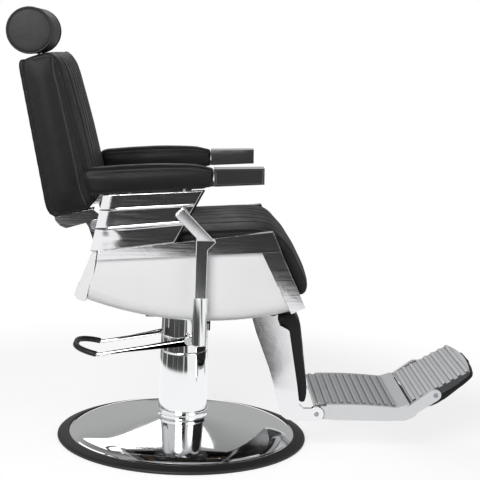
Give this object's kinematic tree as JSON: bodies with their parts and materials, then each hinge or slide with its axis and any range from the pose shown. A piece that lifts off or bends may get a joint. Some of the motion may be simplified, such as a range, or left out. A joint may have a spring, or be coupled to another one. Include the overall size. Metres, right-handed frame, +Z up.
{
  "type": "hydraulic barber chair",
  "caption": "Reclining barber chair on a round lifting base, with roll headrest, padded arms, leg rest and folding ribbed foot rest.",
  "frame": {"origin": "centre of the base on the floor, on the column's axis", "axes": "+X the way the sitter faces, +Y the sitter's left, +Z up"},
  "size_m": [1.2176, 0.66, 1.1121],
  "materials": {
    "dome": "mirror chrome on spun steel",
    "rubber": "matt black moulded rubber",
    "cast": "painted casting",
    "steel": "machined or zinc plated steel",
    "bronze": "machined bronze",
    "chrome": "mirror chrome",
    "polished": "polished cast aluminium",
    "enamel": "white gloss enamel",
    "vinyl": "black upholstery vinyl with a soft sheen",
    "vinyl_cap": "grey black upholstery vinyl",
    "wood": "bare moulded plywood",
    "black": "black plastic",
    "frame": "black painted steel"
  },
  "bodies": {
    "base": {"base_dome": "dome", "base_ring": "rubber", "ballast_plate": "cast", "column_socket": "frame", "socket_bolts": "steel", "socket_bearings": "bronze", "column_tube": "chrome", "base_collar": "chrome"},
    "pump": {"pump_body": "cast", "head_cover": "chrome", "ram_bush": "bronze", "ram_seal": "rubber", "lever_studs": "chrome"},
    "plunger": {"pump_plunger": "steel"},
    "pump_lever": {"lever_rod": "chrome", "lever_grip": "rubber"},
    "swivel_lock": {"lock_lever": "black"},
    "seat": {"ram": "chrome", "mount_plate": "frame", "frame_tubes": "frame", "frame_plates": "frame", "side_rail_right": "polished", "side_rail_left": "polished", "frame_bolts": "steel", "side_shell_right": "enamel", "side_shell_left": "enamel", "rear_shell": "enamel", "shell_screws": "black", "side_panel_right": "polished", "side_panel_left": "polished", "panel_liners": "vinyl", "arm_tip_right": "polished", "arm_tip_left": "polished", "arm_pad_right": "vinyl", "arm_pad_left": "vinyl", "seat_board": "wood", "seat_cushion": "vinyl", "back_pivots": "steel"},
    "recline_lever": {"recline_bar": "polished", "recline_handle": "chrome", "recline_shaft": "steel"},
    "strut": {"strut_cylinder": "frame"},
    "strut_piston": {"strut_rod": "chrome"},
    "backrest": {"back_brackets": "polished", "back_panel": "vinyl", "back_cushion": "vinyl", "headrest_socket": "steel"},
    "headrest": {"headrest_post": "chrome", "headrest_roll": "vinyl", "headrest_caps": "vinyl_cap"},
    "leg_rest": {"leg_arm_right": "polished", "leg_arm_left": "polished", "leg_shaft": "steel", "calf_board": "frame", "calf_pad": "vinyl", "foot_pins": "steel"},
    "foot_rest": {"foot_plate": "polished", "tip_pins": "steel"},
    "tip_rest": {"tip_plate": "polished", "tip_pad": "vinyl"}
  },
  "joints": [
    {"name": "swivel", "type": "hinge", "parent": "base", "child": "pump", "pos_m": [0, 0, 0.238], "axis": [0, 0, 1], "continuous": true},
    {"name": "lift", "type": "slide", "parent": "pump", "child": "seat", "axis": [0, 0, 1], "range_m": [0, 0.15]},
    {"name": "pump_stroke", "type": "hinge", "parent": "pump", "child": "pump_lever", "pos_m": [0.012, 0, 0.276], "axis": [0, -1, 0], "range_deg": [0, 22], "stiffness_Nm_per_rad": 12, "springref_deg": -20.05},
    {"name": "plunger_stroke", "type": "slide", "parent": "pump", "child": "plunger", "axis": [0, 0, 1], "range_m": [-0.0125, 0]},
    {"name": "swivel_lock_turn", "type": "hinge", "parent": "pump", "child": "swivel_lock", "pos_m": [0.0615, 0, 0.308], "axis": [1, 0, 0], "range_deg": [0, 60]},
    {"name": "recline_release", "type": "hinge", "parent": "seat", "child": "recline_lever", "pos_m": [0.03615, 0, 0.51761], "axis": [0, -1, 0], "range_deg": [-18, 0], "stiffness_Nm_per_rad": 15, "springref_deg": 17.19},
    {"name": "recline", "type": "hinge", "parent": "seat", "child": "backrest", "pos_m": [-0.22483, 0, 0.58969], "axis": [0, -1, 0], "range_deg": [0, 50]},
    {"name": "leg_lift", "type": "hinge", "parent": "seat", "child": "leg_rest", "pos_m": [0.21802, 0, 0.38958], "axis": [0, -1, 0], "range_deg": [0, 40.5]},
    {"name": "strut_swing", "type": "hinge", "parent": "seat", "child": "strut", "pos_m": [-0.11314, 0, 0.46152], "axis": [0, -1, 0], "range_deg": [-6, 2]},
    {"name": "strut_slide", "type": "slide", "parent": "strut", "child": "strut_piston", "axis": [0.9992, 0, -0.0403], "range_m": [-0.04, 0.002]},
    {"name": "headrest_slide", "type": "slide", "parent": "backrest", "child": "headrest", "axis": [-0.2334, 0, 0.9724], "range_m": [0, 0.08]},
    {"name": "foot_fold", "type": "hinge", "parent": "leg_rest", "child": "foot_rest", "pos_m": [0.34202, 0, 0.11258], "axis": [0, -1, 0], "range_deg": [0, 55]},
    {"name": "tip_flip", "type": "hinge", "parent": "foot_rest", "child": "tip_rest", "pos_m": [0.64602, 0, 0.16958], "axis": [0, -1, 0], "range_deg": [0, 150]}
  ],
  "couplings": [
    {"joint": "leg_lift", "follows": "recline", "ratio": 0.8},
    {"joint": "strut_swing", "follows": "recline", "ratio": -0.086366},
    {"joint": "strut_slide", "follows": "recline", "m_per_rad": -0.038876},
    {"joint": "plunger_stroke", "follows": "pump_stroke", "m_per_rad": -0.031252}
  ]
}
